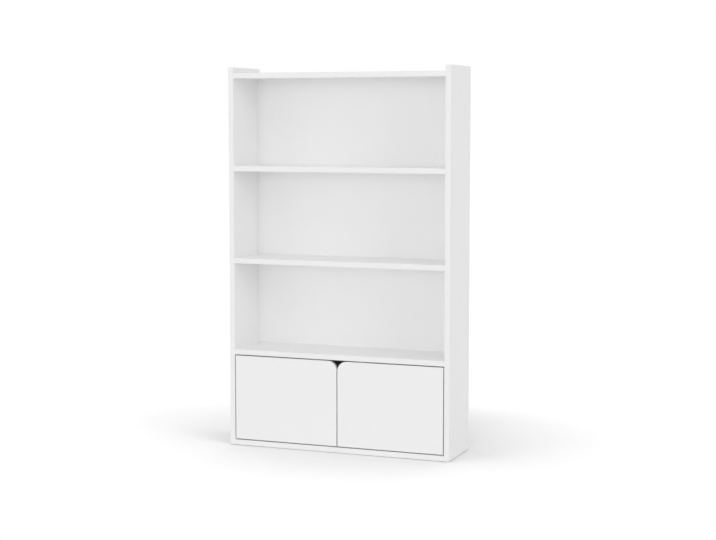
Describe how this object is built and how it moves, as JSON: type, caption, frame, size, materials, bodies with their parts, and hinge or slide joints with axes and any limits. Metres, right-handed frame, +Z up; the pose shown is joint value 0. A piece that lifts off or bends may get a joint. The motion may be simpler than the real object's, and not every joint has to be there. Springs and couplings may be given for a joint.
{
  "type": "bookcase with cabinet doors",
  "caption": "Tall open bookcase with flat shelves between plain side panels, over a low cupboard with inset hinged doors and a rounded finger notch.",
  "frame": {"origin": "on the floor, under the middle of the bookcase's width and depth", "axes": "+Z up, -Y out of the front, where the shelves are open and the doors swing, and +X to the right seen from the front"},
  "size_m": [1.1, 0.3, 1.8],
  "materials": {
    "melamine_board": "white melamine-faced particle board, satin",
    "back_board": "white lacquered hardboard, satin",
    "hinge_steel": "nickel-plated pressed steel",
    "cam_zinc": "zinc die casting, bright",
    "stop_plastic": "moulded white plastic",
    "glide_plastic": "moulded grey plastic"
  },
  "bodies": {
    "case": {"left_side_panel": "melamine_board", "right_side_panel": "melamine_board", "bottom_board": "melamine_board", "cabinet_top_board": "melamine_board", "lower_shelf": "melamine_board", "upper_shelf": "melamine_board", "top_board": "melamine_board", "back_panel": "back_board", "bottom_board_left_front_fitting": "cam_zinc", "bottom_board_left_rear_fitting": "cam_zinc", "bottom_board_right_front_fitting": "cam_zinc", "bottom_board_right_rear_fitting": "cam_zinc", "cabinet_top_board_left_front_fitting": "cam_zinc", "cabinet_top_board_left_rear_fitting": "cam_zinc", "cabinet_top_board_right_front_fitting": "cam_zinc", "cabinet_top_board_right_rear_fitting": "cam_zinc", "lower_shelf_left_front_fitting": "cam_zinc", "lower_shelf_left_rear_fitting": "cam_zinc", "lower_shelf_right_front_fitting": "cam_zinc", "lower_shelf_right_rear_fitting": "cam_zinc", "upper_shelf_left_front_fitting": "cam_zinc", "upper_shelf_left_rear_fitting": "cam_zinc", "upper_shelf_right_front_fitting": "cam_zinc", "upper_shelf_right_rear_fitting": "cam_zinc", "top_board_left_front_fitting": "cam_zinc", "top_board_left_rear_fitting": "cam_zinc", "top_board_right_front_fitting": "cam_zinc", "top_board_right_rear_fitting": "cam_zinc", "left_upper_hinge_arm": "hinge_steel", "left_upper_hinge_plate": "hinge_steel", "left_upper_hinge_top_screw": "hinge_steel", "left_upper_hinge_bottom_screw": "hinge_steel", "left_lower_hinge_arm": "hinge_steel", "left_lower_hinge_plate": "hinge_steel", "left_lower_hinge_top_screw": "hinge_steel", "left_lower_hinge_bottom_screw": "hinge_steel", "left_door_stop": "stop_plastic", "left_front_glide": "glide_plastic", "left_rear_glide": "glide_plastic", "right_upper_hinge_arm": "hinge_steel", "right_upper_hinge_plate": "hinge_steel", "right_upper_hinge_top_screw": "hinge_steel", "right_upper_hinge_bottom_screw": "hinge_steel", "right_lower_hinge_arm": "hinge_steel", "right_lower_hinge_plate": "hinge_steel", "right_lower_hinge_top_screw": "hinge_steel", "right_lower_hinge_bottom_screw": "hinge_steel", "right_door_stop": "stop_plastic", "right_front_glide": "glide_plastic", "right_rear_glide": "glide_plastic"},
    "left_door": {"left_door": "melamine_board", "left_upper_hinge_cup": "hinge_steel", "left_upper_hinge_pin": "hinge_steel", "left_lower_hinge_cup": "hinge_steel", "left_lower_hinge_pin": "hinge_steel"},
    "right_door": {"right_door": "melamine_board", "right_upper_hinge_cup": "hinge_steel", "right_upper_hinge_pin": "hinge_steel", "right_lower_hinge_cup": "hinge_steel", "right_lower_hinge_pin": "hinge_steel"}
  },
  "joints": [
    {"name": "left_door_hinge", "type": "hinge", "parent": "case", "child": "left_door", "pos_m": [-0.50646, -0.1405, 0.23275], "axis": [0, 0, -1], "range_deg": [0, 95]},
    {"name": "right_door_hinge", "type": "hinge", "parent": "case", "child": "right_door", "pos_m": [0.50646, -0.1405, 0.23275], "axis": [0, 0, 1], "range_deg": [0, 95]}
  ]
}
